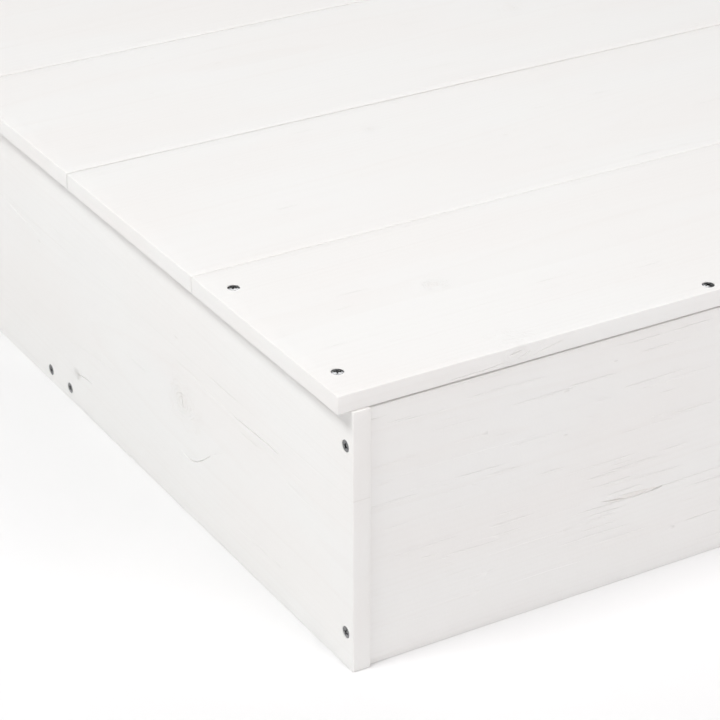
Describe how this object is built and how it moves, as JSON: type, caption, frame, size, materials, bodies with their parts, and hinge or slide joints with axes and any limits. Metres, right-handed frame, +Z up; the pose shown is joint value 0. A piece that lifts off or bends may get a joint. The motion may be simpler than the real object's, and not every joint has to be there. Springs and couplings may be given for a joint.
{
  "type": "sandbox with cover",
  "caption": "Low square sandbox of white-painted wooden boards, with a fixed seat plank along two edges and a lift-off plank cover on battens.",
  "frame": {"origin": "middle of the square footprint, on the ground", "axes": "+Z up, X along the planks with +X to the right, +Y from the front seat plank to the back one"},
  "size_m": [1.11, 1.11, 0.195],
  "materials": {
    "painted_pine": "white semi-gloss paint over planed pine, grain and small knots showing through",
    "screw_steel": "bright stainless"
  },
  "bodies": {
    "frame": {"side_board_left": "painted_pine", "side_board_right": "painted_pine", "end_board_front": "painted_pine", "end_board_back": "painted_pine", "ground_rail_front": "painted_pine", "ground_rail_back": "painted_pine", "seat_plank_front": "painted_pine", "seat_plank_back": "painted_pine", "corner_screws_front_left": "screw_steel", "corner_screws_front_right": "screw_steel", "corner_screws_back_left": "screw_steel", "corner_screws_back_right": "screw_steel", "rail_screws_left": "screw_steel", "rail_screws_right": "screw_steel", "seat_screws_front": "screw_steel", "seat_screws_back": "screw_steel"},
    "cover": {"cover_plank_1": "painted_pine", "cover_plank_2": "painted_pine", "cover_plank_3": "painted_pine", "cover_plank_4": "painted_pine", "cover_batten_left": "painted_pine", "cover_batten_middle": "painted_pine", "cover_batten_right": "painted_pine", "batten_screws_left": "screw_steel", "batten_screws_middle": "screw_steel", "batten_screws_right": "screw_steel"}
  },
  "joints": [
    {"name": "cover_lift", "type": "slide", "parent": "frame", "child": "cover", "axis": [0, 0, 1], "range_m": [0, 0.3]}
  ]
}
